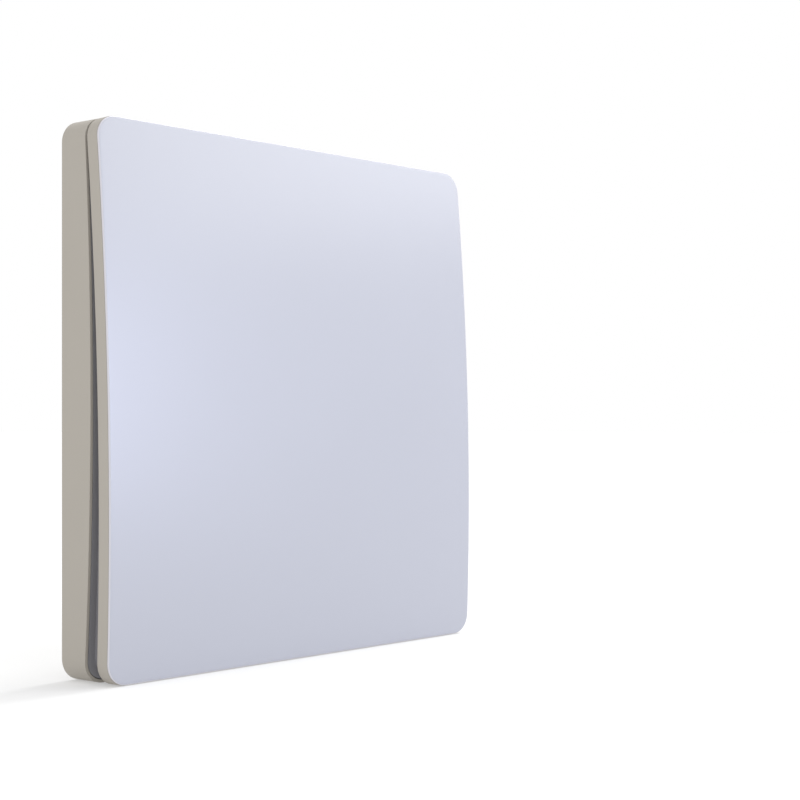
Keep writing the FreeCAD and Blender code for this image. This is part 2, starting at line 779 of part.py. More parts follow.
def make_coil_winding():
    body = new_body("coil_winding")
    section = sketch_on(body, "winding_section", "XY_Plane", bobbin_low + flange_wall + run_gap)
    leg_half = leg_width / 2
    rounded_rectangle(section, leg_centre - flange_half_width + 0.5, leg_centre + flange_half_width - 0.5,
                      -lever_depth - flange_half_depth + 0.3, -lever_depth + flange_half_depth - 0.3,
                      as_size(1.2))
    tube_wall = fit_gap + bobbin_wall + run_gap
    tube_section(section, leg_half + tube_wall, core_thickness / 2 + tube_wall)
    pad(body, "winding", section, bobbin_high - bobbin_low - 2 * (flange_wall + run_gap))
    return body


def make_coil_terminals():
    pins = []
    for number, place in enumerate(pin_places, 1):
        body = new_body(f"coil_terminal_{number}")
        section = sketch_on(body, f"terminal_{number}_section", "XY_Plane", block_base)
        rectangle(section, place - pin_half, place + pin_half, -pin_depth - pin_half, -pin_depth + pin_half)
        pad(body, f"terminal_{number}_pin", section, board_low + pin_overlap - block_base)
        pins.append(body)
    return group("coil_terminals", pins)


# Swing armature: a plastic lever with a magnet between two pole plates

def rest_turn(body, drop, depth, tilt):
    """Puts a piece made in its level state on its pivot, in the resting tilt with the top pushed in."""
    body.Placement = FreeCAD.Placement(
        Vector(0, -depth.value, -as_size(drop).value),
        FreeCAD.Rotation(Vector(-1, 0, 0), tilt.value),
    )
    bind(body, "Placement.Base.y", -depth)
    bind(body, "Placement.Base.z", -1 * as_size(drop))
    bind(body, "Placement.Rotation.Angle", tilt)


def make_swing_lever():
    body = new_body("swing_lever")
    end = lever_half_width
    bar_low = -tongue_reach + 2.0
    bar_high = bar_low + 1.8
    plan = sketch_on(body, "lever_plan", "XZ_Plane", -mouth_gap / 2)
    outline(plan, [
        (-end, bar_low), (tongue_width / 2, bar_low), (tongue_width / 2, bar_high), (-end + 1.2, bar_high),
        (-end + 1.2, -carrier_half), (end, -carrier_half), (end, carrier_half), (-end, carrier_half),
    ])
    seat_half = carrier_half - carrier_wall
    rectangle(plan, -pole_half_width, pole_half_width, -seat_half, seat_half)
    pad(body, "lever_plate", plan, mouth_gap)
    tongue = sketch_on(body, "tongue_profile", "YZ_Plane")
    outline(tongue, [
        (-tip_radius, bar_low + 0.6),
        (-tip_radius, -tongue_reach, tip_radius),
        (0, -tongue_reach - tip_radius, tip_radius),
        (tip_radius, -tongue_reach),
        (tip_radius, bar_low + 0.6),
    ])
    pad(body, "tongue", tongue, tongue_width, symmetric=True)
    trunnion = sketch_on(body, "trunnion_profile", "YZ_Plane", end - 0.3)
    circle(trunnion, 0, 0, trunnion_radius)
    trunnion_pad = pad(body, "trunnion", trunnion, 2.3)
    mirror(body, "other_trunnion", [trunnion_pad])
    rest_turn(body, lever_drop, lever_depth, lever_tilt)
    return body


def make_magnet():
    body = new_body("magnet")
    plan = sketch_on(body, "magnet_plan", "XZ_Plane", -mouth_gap / 2)
    half_width = pole_half_width - thread_gap
    half_height = carrier_half - carrier_wall - thread_gap
    rectangle(plan, -half_width, half_width, -half_height, half_height)
    pad(body, "magnet_block", plan, mouth_gap)
    rest_turn(body, lever_drop, lever_depth, lever_tilt)
    return body


def make_pole_plate(name, start):
    body = new_body(name)
    plan = sketch_on(body, name + "_plan", "XZ_Plane", start)
    rectangle(plan, -pole_half_width, pole_half_width, -pole_half_length, pole_half_length)
    pad(body, name + "_stamping", plan, pole_thickness)
    rest_turn(body, lever_drop, lever_depth, lever_tilt)
    return body


# Rocker: a moulded panel with pivot ears and a drive fork, and the bonded face plate

def make_rocker_hollow():
    """The space behind the rocker's web, cut out of the panel."""
    body = new_body("rocker_hollow")
    plan = sketch_on(body, "hollow_plan", "XZ_Plane", band_edge - 2.0)
    rounded_square(plan, half_plate - rocker_wall, corner_radius - rocker_wall)
    pad(body, "hollow_block", plan, web_edge + crown_rise - band_edge + 2.0)
    crown_front(body, "hollow_crown", web_edge)
    return body


def make_rocker_panel():
    hollow = make_rocker_hollow()
    body = new_body("rocker_panel")
    plan = sketch_on(body, "panel_plan", "XZ_Plane", band_edge)
    rounded_square(plan, half_plate, corner_radius)
    pad(body, "panel_block", plan, panel_edge + crown_rise - band_edge)
    crown_front(body, "panel_crown", panel_edge)
    crown_back(body, "band_crown", band_edge, band_edge - 1.0, half_plate + 2.0, half_plate + 2.0)
    cut = body.newObject("PartDesign::Boolean", "panel_hollow")
    cut.setObjects([hollow])
    cut.Type = "Cut"
    body.Tip = cut

    root = web_edge + crown_rise + rocker_web / 2
    ear = sketch_on(body, "ear_profile", "YZ_Plane", ear_place)
    outline(ear, [
        (-root, -ear_half),
        (0, -ear_half, ear_half),
        (ear_half, 0, ear_half),
        (0, ear_half),
        (-root, ear_half),
    ])
    ear_pad = pad(body, "pivot_ear", ear, ear_thickness)
    pin_sketch = sketch_on(body, "pivot_pin_profile", "YZ_Plane", ear_place - ear_thickness - 2 * fit_gap)
    circle(pin_sketch, 0, 0, pivot_radius)
    pin_pad = pad(body, "pivot_pin", pin_sketch, ear_thickness * 1.4)
    mirror(body, "other_ear", [ear_pad, pin_pad])
    spine = sketch_on(body, "spine_profile", "YZ_Plane")
    rectangle(spine, -root, -root + rocker_web / 2 + 0.7, as_size(-0.6), as_size(0.6))
    pad(body, "spine_rib", spine, 2 * ear_place, symmetric=True)

    tip_depth = lever_depth - pivot_depth
    fork_root = crown_depth(web_edge, fork_drop) + rocker_web / 2
    lip_top = tip_depth - tip_radius - fit_gap
    leg_near = tongue_width / 2 + 3 * fit_gap
    leg_far = leg_near + rocker_wall
    leg = sketch_on(body, "fork_leg_section", "XY_Plane", -fork_drop - 1.2)
    outline(leg, [
        (leg_near, -fork_root), (leg_far, -fork_root), (leg_far, -lip_top + 0.7),
        (as_size(0.7), -lip_top + 0.7), (as_size(0.7), -lip_top), (leg_near, -lip_top),
    ])
    leg_pad = pad(body, "fork_leg", leg, 2.4)
    mirror(body, "other_fork_leg", [leg_pad])
    jaw = sketch_on(body, "fork_jaw_section", "XY_Plane", -fork_drop - 0.6)
    rectangle(jaw, -leg_near - 0.2, leg_near + 0.2, -fork_root, -tip_depth - tip_radius - fit_gap)
    pad(body, "fork_jaw", jaw, 1.2)
    rest_turn(body, 0, pivot_depth, rocker_tilt)
    return body


def make_face_plate():
    body = new_body("face_plate")
    plan = sketch_on(body, "face_plan", "XZ_Plane", face_back - face_thickness)
    rounded_square(plan, half_plate, corner_radius)
    pad(body, "face_block", plan, crown_rise + 2 * face_thickness)
    crown_front(body, "face_crown", face_edge)
    crown_back(body, "face_back", face_back, face_back - 2.0, half_plate + 2.0, half_plate + 2.0)
    front_limit = -face_edge.value + 0.05
    bevel_edges(body, "face_edge", face_chamfer, lambda edge: edge.BoundBox.YMax < front_limit)
    rest_turn(body, 0, pivot_depth, rocker_tilt)
    return body


# Circuit board and its components

def make_circuit_board():
    body = new_body("circuit_board")
    plan = sketch_on(body, "board_plan", "XZ_Plane", board_back)
    rounded_rectangle(plan, -board_half, board_half, board_low, board_high, as_size(1.0))
    for side in (-1, 1):
        circle(plan, side * post_place, post_high, screw_radius + bore_gap)
    pad(body, "board", plan, board_thickness)
    return body


def make_component(name, across, up, width, height, thickness):
    """A chamfered component block on the board's front."""
    body = new_body(name)
    plan = sketch_on(body, name + "_plan", "XZ_Plane", board_front)
    rectangle(plan, across - width / 2, across + width / 2, up - height / 2, up + height / 2)
    pad(body, name + "_block", plan, thickness)
    front = -(board_front + thickness).value + 0.01
    bevel_edges(body, name + "_bevel", 0.15, lambda edge: edge.BoundBox.YMax < front)
    return body


def make_component_row(name, places, width, height, thickness):
    members = []
    for number, (across, up) in enumerate(places, 1):
        members.append(make_component(f"{name}_{number}", across, up, width, height, thickness))
    return group(name, members)


def make_antenna():
    body = new_body("antenna")
    left = -antenna_left
    right = board_half - 2.0
    top = board_high + antenna_rise
    low = board_high - antenna_drop
    bend = antenna_width * 2
    strip = sketch_on(body, "antenna_plan", "XZ_Plane", board_front + antenna_lift)
    outline(strip, [
        (right, board_high - 3.0),
        (right, top - bend, bend),
        (right - bend, top),
        (left + bend, top, bend),
        (left, top - bend),
        (left, low),
        (left + antenna_width, low),
        (left + antenna_width, top - antenna_width),
        (right - antenna_width, top - antenna_width),
        (right - antenna_width, board_high - 3.0),
    ])
    pad(body, "antenna_strip", strip, antenna_thickness)
    foot = sketch_on(body, "antenna_foot_plan", "XZ_Plane", board_front)
    rectangle(foot, left, left + antenna_width, low, low + 1.5)
    pad(body, "antenna_foot", foot, antenna_lift + antenna_thickness / 2)
    return body


upper_row = board_high - chip_row
middle_row = upper_row - capacitor_row
lower_row = middle_row - diode_row
diode_places = [((n - 3) * diode_pitch, lower_row) for n in range(4)]
capacitor_places = [((n - 2 / 3) * capacitor_pitch, middle_row) for n in range(2)]
resistor_places = [((n - 10 / 3) * resistor_pitch, board_high - resistor_row) for n in range(6)]

pieces = [
    make_rear_housing(),
    make_inner_cover(),
    make_cover_screws(),
    make_generator_frame(),
    make_generator_screws(),
    make_core_yoke(),
    make_core_arm(),
    make_coil_bobbin(),
    make_coil_winding(),
    make_coil_terminals(),
    make_swing_lever(),
    make_magnet(),
    make_pole_plate("front_pole_plate", mouth_gap / 2),
    make_pole_plate("rear_pole_plate", -mouth_gap / 2 - pole_thickness),
    make_rocker_panel(),
    make_face_plate(),
    make_circuit_board(),
    make_board_screws(),
    make_component("radio_chip", -chip_place, upper_row, chip_width, chip_height, chip_thickness),
    make_component("crystal", chip_place, upper_row, crystal_width, crystal_height, crystal_thickness),
    make_component_row("storage_capacitors", capacitor_places,
                       capacitor_width, capacitor_height, capacitor_thickness),
    make_component_row("rectifier_diodes", diode_places, diode_width, diode_height, diode_thickness),
    make_component_row("board_resistors", resistor_places,
                       resistor_width, resistor_height, resistor_thickness),
    make_antenna(),
]
doc.recompute()

# Every feature and piece is looked at before the pieces are written

for item in doc.Objects:
    if "Invalid" in item.State or "Error" in item.State:
        raise RuntimeError(f"{item.Name} did not build: {item.State}")
os.makedirs("parts", exist_ok=True)
for piece in pieces:
    shape = piece.Shape
    if shape.isNull() or not shape.isValid():
        raise RuntimeError(f"{piece.Label} has no valid shape")
    shape.exportStep(f"parts/{piece.Label}.step")
    print(piece.Label, len(shape.Solids), round(shape.Volume, 2))
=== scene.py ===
# %% [markdown]
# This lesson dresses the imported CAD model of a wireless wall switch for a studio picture. The switch is one
# large crowned rocker in front of a shallow housing, and a small generator inside makes the power for each
# radio message. The CAD model is the fixed frame: nothing in it is moved, and new pieces are fitted to it.

# %% Load the frame
import json
import math

import bpy
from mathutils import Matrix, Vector


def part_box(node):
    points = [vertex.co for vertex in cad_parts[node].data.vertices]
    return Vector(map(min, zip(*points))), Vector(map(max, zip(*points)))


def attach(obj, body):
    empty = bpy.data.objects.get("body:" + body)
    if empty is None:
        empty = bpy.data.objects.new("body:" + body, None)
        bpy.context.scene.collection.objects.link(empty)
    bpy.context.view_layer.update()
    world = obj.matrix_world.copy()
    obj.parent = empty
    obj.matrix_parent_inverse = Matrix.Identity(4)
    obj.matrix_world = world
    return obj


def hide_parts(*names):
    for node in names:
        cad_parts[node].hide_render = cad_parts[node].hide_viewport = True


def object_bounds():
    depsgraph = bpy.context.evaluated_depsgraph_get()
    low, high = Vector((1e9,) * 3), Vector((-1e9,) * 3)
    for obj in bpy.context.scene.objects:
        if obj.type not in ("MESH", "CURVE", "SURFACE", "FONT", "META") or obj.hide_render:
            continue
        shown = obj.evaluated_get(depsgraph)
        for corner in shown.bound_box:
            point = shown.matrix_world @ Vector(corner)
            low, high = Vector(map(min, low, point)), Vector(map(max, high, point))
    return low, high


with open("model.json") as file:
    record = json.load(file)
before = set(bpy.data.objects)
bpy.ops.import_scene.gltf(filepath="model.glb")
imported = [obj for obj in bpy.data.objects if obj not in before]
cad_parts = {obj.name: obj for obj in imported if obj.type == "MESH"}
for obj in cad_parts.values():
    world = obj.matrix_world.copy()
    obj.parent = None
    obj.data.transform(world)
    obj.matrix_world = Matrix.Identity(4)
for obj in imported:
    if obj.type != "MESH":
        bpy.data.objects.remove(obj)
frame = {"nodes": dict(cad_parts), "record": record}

cad_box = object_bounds()
nodes = frame["nodes"]
MM = 0.001

# %% [markdown]
# A finish is a small graph of shader nodes. Written out by hand, that graph soon hides the idea behind it, so
# one class wraps a socket: sums and products of such wires add Math nodes by themselves, and one method adds
# any other node. All patterns read Object coordinates, in metres, so they stay put when a piece moves.

# %% Shader wires


class Wire:
    """An output socket of a finish; sums, products and comparisons of wires add Math nodes."""

    def __init__(self, tree, socket):
        self.tree = tree
        self.socket = socket

    def plug(self, target):
        self.tree.links.new(self.socket, target)

    def add(self, kind, settings, sockets, output=0):
        """Adds a node, sets it up, fills its sockets with numbers or wires and returns one of its outputs."""
        node = self.tree.nodes.new("ShaderNode" + kind)
        for name, value in settings.items():
            setattr(node, name, value)
        for name, value in sockets.items():
            if isinstance(value, Wire):
                value.plug(node.inputs[name])
            else:
                node.inputs[name].default_value = value
        return Wire(self.tree, node.outputs[output])

    def maths(self, operation, first, second=0.0):
        return self.add("Math", {"operation": operation}, {0: first, 1: second})

    def __add__(self, other):
        return self.maths("ADD", self, other)

    def __radd__(self, other):
        return self.maths("ADD", other, self)

    def __sub__(self, other):
        return self.maths("SUBTRACT", self, other)

    def __mul__(self, other):
        return self.maths("MULTIPLY", self, other)

    def __rmul__(self, other):
        return self.maths("MULTIPLY", other, self)

    def __truediv__(self, other):
        return self.maths("DIVIDE", self, other)

    def __lt__(self, other):
        return self.maths("LESS_THAN", self, other)

    def __gt__(self, other):
        return self.maths("GREATER_THAN", self, other)

    def __abs__(self):
        return self.maths("ABSOLUTE", self)

    def part(self, axis):
        """The x, y or z part of a vector."""
        return self.add("SeparateXYZ", {}, {0: self}, output="XYZ".index(axis))

    def stretch(self, x, y, z):
        """The same place on a pattern that is scaled along each axis."""
        return self.add("Mapping", {}, {"Vector": self, "Scale": (x, y, z)})

    def noise(self, size, detail=2.0):
        """Soft noise between 0 and 1 whose spots are about as large as the size."""
        return self.add("TexNoise", {}, {"Vector": self, "Scale": 1 / size, "Detail": detail})

    def mix(self, first, second):
        """Two colours, mixed by this mask."""
        return self.add("Mix", {"data_type": "RGBA"}, {0: self, 6: first, 7: second}, output=2)


print("shader wires are ready")

# %% [markdown]
# Every finish ends in one Principled shader. A number that is the same all over goes straight onto its
# socket; only colour, roughness and the bump that gives grain are wired. A Bevel node rounds the shading of
# the CAD edges a little, because a moulded or stamped edge is never perfectly sharp.

# %% Begin and end a finish

EDGE_RADIUS = 0.12 * MM
finishes = {}


def new_finish(name):
    """Starts a finish and lists it by its name; returns its shader and the wire of Object coordinates."""
    material = bpy.data.materials.new(name)
    material.use_nodes = True
    finishes[name] = material
    tree = material.node_tree
    place = Wire(tree, tree.nodes.new("ShaderNodeTexCoord").outputs["Object"])
    return tree.nodes["Principled BSDF"], place


def paint(shader, place, colour, roughness, grain, grain_height):
    """Wires colour, roughness and a grain bump over softened edges to the shader."""
    soft_edge = place.add("Bevel", {"samples": 4}, {"Radius": EDGE_RADIUS})
    bump = place.add("Bump", {}, {"Distance": grain_height, "Height": grain, "Normal": soft_edge})
    colour.plug(shader.inputs["Base Color"])
    roughness.plug(shader.inputs["Roughness"])
    bump.plug(shader.inputs["Normal"])


print("finishes can be started and ended")

# %% [markdown]
# The housing and the rocker's side band are moulded in the same warm grey plastic. A mould surface is spark
# eroded, which leaves a fine matt grain, and the pigment is never mixed to perfection, so two close tones
# drift through each other in soft clouds.

# %% Moulded plastics

CLOUD_SIZE = 14 * MM
MOULD_GRAIN_SIZE = 0.16 * MM
MOULD_GRAIN_HEIGHT = 0.006 * MM


def moulded_plastic(name, tone, other_tone, roughness):
    shader, place = new_finish(name)
    clouds = place.noise(CLOUD_SIZE)
    grain = place.noise(MOULD_GRAIN_SIZE, detail=3.0)
    colour = clouds.mix(tone, other_tone)
    paint(shader, place, colour, roughness + 0.12 * (grain - 0.5), grain, MOULD_GRAIN_HEIGHT)
    shader.inputs["Specular IOR Level"].default_value = 0.4


moulded_plastic("housing_plastic", (0.364, 0.337, 0.297, 1), (0.381, 0.353, 0.311, 1), 0.52)
moulded_plastic("cover_plastic", (0.225, 0.222, 0.239, 1), (0.240, 0.236, 0.252, 1), 0.58)
moulded_plastic("chassis_plastic", (0.020, 0.020, 0.022, 1), (0.028, 0.028, 0.030, 1), 0.50)
moulded_plastic("lever_plastic", (0.64, 0.63, 0.58, 1), (0.69, 0.68, 0.63, 1), 0.35)
print("moulded plastics:", ", ".join(finishes))

# %% [markdown]
# The face of the rocker is a thin cool-white sheet with a satin gloss. Its colour is almost even; what makes
# it look real is the way it shines: a roughness that wanders slightly and the faint orange peel of a coating.
# The rounded rim of the sheet is painted paler than the coating, a painted highlight along its edge, so the
# finish reads an attribute of the mesh that marks the rim.

# %% The face's white coating

DRIFT_SIZE = 30 * MM
PEEL_SIZE = 0.9 * MM
PEEL_HEIGHT = 0.0012 * MM

shader, place = new_finish("face_white")
drift = place.noise(DRIFT_SIZE)
peel = place.noise(PEEL_SIZE)
rim_highlight_paint = place.add("Attribute", {"attribute_name": "rim"}, {}, output="Fac")
coating = drift.mix((0.370, 0.379, 0.425, 1), (0.379, 0.389, 0.435, 1))
# painted highlight: the rim faces get a paler colour that stands in for light catching the rounded edge
colour = rim_highlight_paint.mix(coating, (0.56, 0.55, 0.59, 1))
paint(shader, place, colour, 0.305 + 0.04 * (drift - 0.5), peel, PEEL_HEIGHT)
shader.inputs["Specular IOR Level"].default_value = 0.5
print("the face's coating is ready")

# %% [markdown]
# The metals differ by how they were made. Turned screws are zinc plated and slightly blotchy, stampings keep
# the long grain of rolled sheet, nickel is bright with fine scratches, and tin is dull and soft. The copper
# wire is enamelled, so it has a clear coat.

# %% Metals

METAL_GRAIN_HEIGHT = 0.004 * MM


def metal(name, tone, other_tone, roughness, grain_size, detail=4.0, squeeze=(1, 1, 1), coat=0.0):
    """A metal whose colour, shine and relief follow one grain, which is squeezed across its run."""
    shader, place = new_finish(name)
    grain = place.stretch(*squeeze).noise(grain_size, detail)
    colour = grain.mix(tone, other_tone)
    paint(shader, place, colour, roughness + 0.18 * (grain - 0.5), grain, METAL_GRAIN_HEIGHT)
    shader.inputs["Metallic"].default_value = 1.0
    shader.inputs["Coat Weight"].default_value = coat


metal("screw_steel", (0.55, 0.56, 0.58, 1), (0.70, 0.70, 0.69, 1), 0.38, 0.7 * MM)
metal("core_iron", (0.30, 0.30, 0.31, 1), (0.40, 0.40, 0.40, 1), 0.46, 0.8 * MM, squeeze=(1, 6, 9))
metal("pole_steel", (0.42, 0.42, 0.43, 1), (0.54, 0.54, 0.54, 1), 0.36, 0.8 * MM, squeeze=(8, 6, 1))
metal("magnet_nickel", (0.66, 0.63, 0.57, 1), (0.74, 0.72, 0.66, 1), 0.16, 0.5 * MM, 5.0, (1, 9, 12))
metal("tinned_wire", (0.60, 0.60, 0.59, 1), (0.74, 0.74, 0.72, 1), 0.40, 0.35 * MM, 3.0)
metal("crystal_can", (0.62, 0.60, 0.55, 1), (0.75, 0.73, 0.68, 1), 0.38, 0.6 * MM, squeeze=(1, 1, 14))
metal("winding_copper", (0.42, 0.13, 0.05, 1), (0.62, 0.24, 0.10, 1), 0.38, 2.4 * MM, 3.0, (1, 1, 22), 0.6)
print(len(finishes), "finishes after the metals")

# %% [markdown]
# The board is fibreglass under a green lacquer, with copper tracks that show as lighter lines. The board is
# divided into lanes, and chance decides for each stretch of a lane whether a track runs there. One set of
# lanes runs across and one runs up, and small tinned dots show where tracks pass through the board.

# %% Circuit board lacquer

TRACK_PITCH = 0.9 * MM
TRACK_LENGTH = 7 * MM
TRACK_HALF_WIDTH = 0.16  # in lanes
BARE_SHARE = 0.62  # of the stretches
WEAVE_SIZE = 0.5 * MM
TRACK_HEIGHT = 0.02 * MM
DOT_PITCH = 4 * MM
DOT_RADIUS = 0.06  # in dot pitches


def track_mask(place, along, beside):
    """1 on tracks along one axis; each stretch of a lane is switched on or off by chance."""
    lane = place.part(beside) / TRACK_PITCH
    lane_number = place.maths("FLOOR", lane)
    shift = place.add("TexWhiteNoise", {"noise_dimensions": "1D"}, {"W": lane_number})
    stretch_number = place.maths("FLOOR", place.part(along) / TRACK_LENGTH + 5 * shift)
    cell = place.add("CombineXYZ", {}, {"X": lane_number, "Y": stretch_number})
    chance = place.add("TexWhiteNoise", {"noise_dimensions": "2D"}, {"Vector": cell})
    in_track = abs(lane - lane_number - 0.5) < TRACK_HALF_WIDTH
    return in_track * (chance > BARE_SHARE)


shader, place = new_finish("board_laminate")
tracks = place.maths("MAXIMUM", track_mask(place, "X", "Z"), track_mask(place, "Z", "X"))
flat = place.add("CombineXYZ", {}, {"X": place.part("X"), "Y": place.part("Z")})
dots = flat.add("TexVoronoi", {"voronoi_dimensions": "2D"}, {"Vector": flat, "Scale": 1 / DOT_PITCH})
weave = place.noise(WEAVE_SIZE)
lacquer = weave.mix((0.008, 0.075, 0.030, 1), (0.012, 0.095, 0.038, 1))
printed = tracks.mix(lacquer, (0.026, 0.165, 0.066, 1))
colour = (dots < DOT_RADIUS).mix(printed, (0.50, 0.50, 0.47, 1))
paint(shader, place, colour, 0.34 + 0.08 * (weave - 0.5), tracks, TRACK_HEIGHT)
print("the board's lacquer is ready")

# %% [markdown]
# Small components carry small marks that tell an assembler which way round they go. The marks repeat with the
# pitch of the row, so a remainder after division by that pitch gives each component its own coordinate.

# %% Component cases

CHIP_DOT_INSET = 0.7 * MM
CHIP_DOT_RADIUS = 0.28 * MM
DIODE_PITCH = 4.0 * MM
CAPACITOR_PITCH = 6.0 * MM
RESISTOR_PITCH = 3.0 * MM


def stripes(place, first, pitch, width):
    """1 in upright stripes of the given width that repeat along x, starting at the first place."""
    along = place.part("X") - first
    return place.maths("FLOORED_MODULO", along, pitch) < width


def marked_case(shader, place, mark, tone, mark_tone, roughness, grain_size, grain_height=0.005 * MM):
    """Paints a case in one tone and its marks in another."""
    grain = place.noise(grain_size, detail=3.0)
    colour = mark.mix(tone, mark_tone)
    paint(shader, place, colour, roughness + 0.15 * (grain - 0.5), grain, grain_height)


shader, place = new_finish("chip_epoxy")
low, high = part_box("radio_chip")
across = place.part("X") - (low.x + CHIP_DOT_INSET)
up = place.part("Z") - (high.z - CHIP_DOT_INSET)
dot = (across * across + up * up) < CHIP_DOT_RADIUS ** 2
marked_case(shader, place, dot, (0.016, 0.016, 0.018, 1), (0.060, 0.060, 0.062, 1), 0.48, 0.12 * MM)

shader, place = new_finish("diode_epoxy")
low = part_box("rectifier_diodes")[0]
band = stripes(place, low.x + 0.25 * MM, DIODE_PITCH, 0.35 * MM)
marked_case(shader, place, band, (0.018, 0.018, 0.020, 1), (0.55, 0.55, 0.54, 1), 0.46, 0.12 * MM)

shader, place = new_finish("capacitor_case")
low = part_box("storage_capacitors")[0]
stripe = stripes(place, low.x + 0.2 * MM, CAPACITOR_PITCH, 0.7 * MM)
marked_case(shader, place, stripe, (0.56, 0.29, 0.035, 1), (0.20, 0.075, 0.015, 1), 0.42, 0.2 * MM)

shader, place = new_finish("resistor_ceramic")
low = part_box("board_resistors")[0]
left_ends = stripes(place, low.x, RESISTOR_PITCH, 0.32 * MM)
right_ends = stripes(place, low.x + 1.28 * MM, RESISTOR_PITCH, 0.34 * MM)
ends = left_ends + right_ends
marked_case(shader, place, ends, (0.014, 0.014, 0.016, 1), (0.62, 0.62, 0.60, 1), 0.40, 0.1 * MM, 0.004 * MM)
print(len(finishes), "finishes after the component cases")

# %% [markdown]
# The record names a material slot for every CAD node, and each slot has a finish of that name by now, so one
# loop dresses the whole model. Only the diodes, which share the chip's slot, get a case with a band.

# %% Dress the CAD nodes


def dress(piece, finish):
    piece.data.materials.clear()
    piece.data.materials.append(finish)


for subpart in frame["record"]["subparts"]:
    dress(nodes[subpart["node"]], finishes[subpart["material_slot"]])
dress(nodes["rectifier_diodes"], finishes["diode_epoxy"])

# %% [markdown]
# New pieces start as a primitive. The CAD nodes are still selected after loading, so everything is deselected
# first. Faces and edges are then picked by a test on their place or direction, and a few such tests serve all
# pieces.

# %% Start a piece and pick from it

NEAR = 0.001 * MM  # places closer than this count as one
ALONG = 0.99  # a direction with at least this share of an axis runs along it


def name_new_piece(name, scale=(1, 1, 1)):
    """Names the primitive just added and makes its place, turn and scale part of its mesh."""
    piece = bpy.context.object
    piece.name = name
    piece.data.name = name
    piece.scale = scale
    bpy.ops.object.transform_apply(location=True, rotation=True, scale=True)
    return piece


def start_box(name, size, centre):
    """A box primitive of the given size whose own origin is the middle of its frame."""
    bpy.ops.object.select_all(action="DESELECT")
    bpy.ops.mesh.primitive_cube_add(size=1, location=centre)
    return name_new_piece(name, size)


def pick(piece, kind, wanted):
    """Goes into edit mode with only those faces or edges selected that the test picks."""
    bpy.ops.object.mode_set(mode="EDIT")
    bpy.ops.mesh.select_mode(type=kind)
    bpy.ops.mesh.select_all(action="DESELECT")
    bpy.ops.object.mode_set(mode="OBJECT")
    items = piece.data.polygons if kind == "FACE" else piece.data.edges
    for item in items:
        item.select = wanted(piece.data, item)
    bpy.ops.object.mode_set(mode="EDIT")


def edge_runs_along(axis):
    """A test for edges that run along one axis."""

    def test(mesh, edge):
        first, second = (mesh.vertices[number].co for number in edge.vertices)
        step = second - first
        return abs(step[axis]) > ALONG * step.length

    return test


def edge_lies_at(axis, place):
    """A test for edges that lie at one place along an axis."""

    def test(mesh, edge):
        return all(abs(mesh.vertices[number].co[axis] - place) < NEAR for number in edge.vertices)

    return test


def face_looks_along(axis, *ways):
    """A test for faces that look along one axis, in the positive (1) or negative (-1) way or in both."""

    def test(mesh, face):
        return any(way * face.normal[axis] > ALONG for way in ways)

    return test


print("pieces can be started and picked from")

# %% [markdown]
# What repeats is modelled once. A row in even steps is an Array modifier, and anything else is copied to a
# list of places. A finished piece has its origin in the middle of the frame, gets its finish, and rides on
# the body that carries it.

# %% Repeat, move and hand over a piece

SMOOTH_ANGLE = math.radians(35)


def repeat(piece, count, step, joined=False):
    """Repeats a piece in even steps, and joins the copies where their points meet if asked to."""
    row = piece.modifiers.new("row", "ARRAY")
    row.count = count
    row.use_relative_offset = False
    row.use_constant_offset = True
    row.constant_offset_displace = step
    row.use_merge_vertices = joined
    row.merge_threshold = NEAR
    bpy.ops.object.modifier_apply(modifier="row")


def move(piece, place, turn=(0, 0, 0)):
    """Turns and moves a piece, with its origin kept in the middle of the frame."""
    piece.location = place
    piece.rotation_euler = turn
    bpy.ops.object.transform_apply(location=True, rotation=True, scale=True)


def copy_to_places(piece, places):
    """Moves a piece to the first place (x, z), copies it to the others and joins them all into one."""
    bpy.ops.object.select_all(action="DESELECT")
    for across, up in places[1:]:
        other = piece.copy()
        other.data = piece.data.copy()
        other.location = (across, 0, up)
        bpy.context.collection.objects.link(other)
        other.select_set(True)
    piece.location = (places[0][0], 0, places[0][1])
    piece.select_set(True)
    bpy.context.view_layer.objects.active = piece
    bpy.ops.object.join()
    bpy.ops.object.transform_apply(location=True, rotation=True, scale=True)


def hand_over(piece, body, slot, *replaced):
    """Smooths the shading, dresses the piece and gives it to its body."""
    bpy.ops.object.mode_set(mode="OBJECT")
    bpy.ops.object.shade_smooth_by_angle(angle=SMOOTH_ANGLE)
    dress(piece, finishes[slot])
    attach(piece, body)
    if replaced:
        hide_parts(*replaced)
    print(piece.name, "has", len(piece.data.polygons), "faces")


print("pieces can be repeated, moved and handed over")

# %% [markdown]
# The face sheet is what the picture shows most. The CAD sheet has a plain bevel; here it gets a soft rounding
# and an even curve. A flat sheet is cut to shape first, then cut across into many strips, and a Simple Deform
# modifier bends it to the crown, which is how a real sheet would be curved over its carrier.

# %% Face sheet

PLATE = 86 * MM
CORNER = 3.5 * MM
CROWN_RISE = 1.5 * MM
CROWN_RADIUS = ((PLATE / 2) ** 2 + CROWN_RISE ** 2) / (2 * CROWN_RISE)
FACE_THICKNESS = 0.3 * MM
FACE_FROM_PIVOT = 4.9 * MM
FACE_ROUNDING = 0.15 * MM
FACE_MARGIN = 0.4 * MM
STRIPS = 44
RIM_DEPTH_SHARE = 0.9  # faces that look less than this along the depth belong to the rim
PIVOT = (0, -6.4 * MM, 0)
REST_TILT = math.radians(-1.7)

